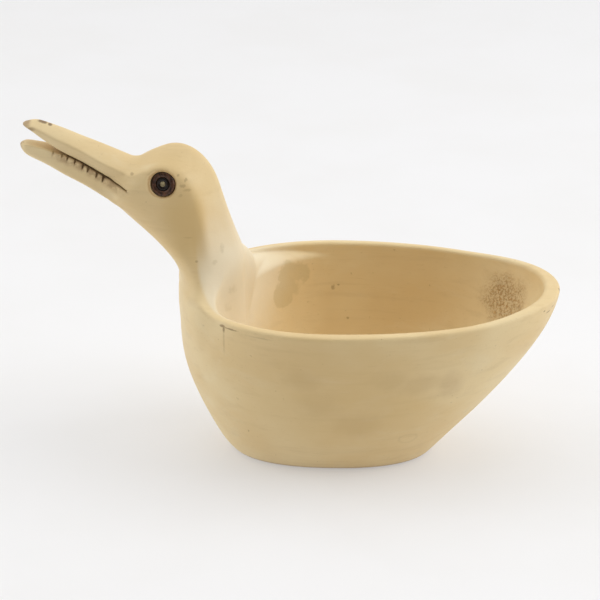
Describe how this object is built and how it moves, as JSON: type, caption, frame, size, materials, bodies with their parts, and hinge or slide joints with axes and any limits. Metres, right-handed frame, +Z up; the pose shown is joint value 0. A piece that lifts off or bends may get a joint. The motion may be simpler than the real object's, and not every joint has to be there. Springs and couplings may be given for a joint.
{
  "type": "bird-shaped bowl",
  "caption": "Carved wooden bowl shaped like a water bird: deep egg-shaped hollow body, upright neck and head at one end, open toothed bill and round inlaid eyes.",
  "frame": {"origin": "centre of the flat base, on the surface the bowl stands on", "axes": "+Z up, -X is the way the bird faces, +X towards the tail end of the bowl, -Y is the bird's left side"},
  "size_m": [0.2808, 0.139, 0.1813],
  "materials": {
    "pale_wood": "pale close-grained timber, hand sanded, thin satin wax",
    "brown_iris": "polished dark brown horn",
    "black_pupil": "polished black",
    "pale_pin": "polished pale bone"
  },
  "bodies": {
    "root": {"carved_bird_bowl": "pale_wood", "left_iris_ring": "brown_iris", "left_pupil": "black_pupil", "left_eye_pin": "pale_pin", "right_iris_ring": "brown_iris", "right_pupil": "black_pupil", "right_eye_pin": "pale_pin"}
  },
  "joints": []
}
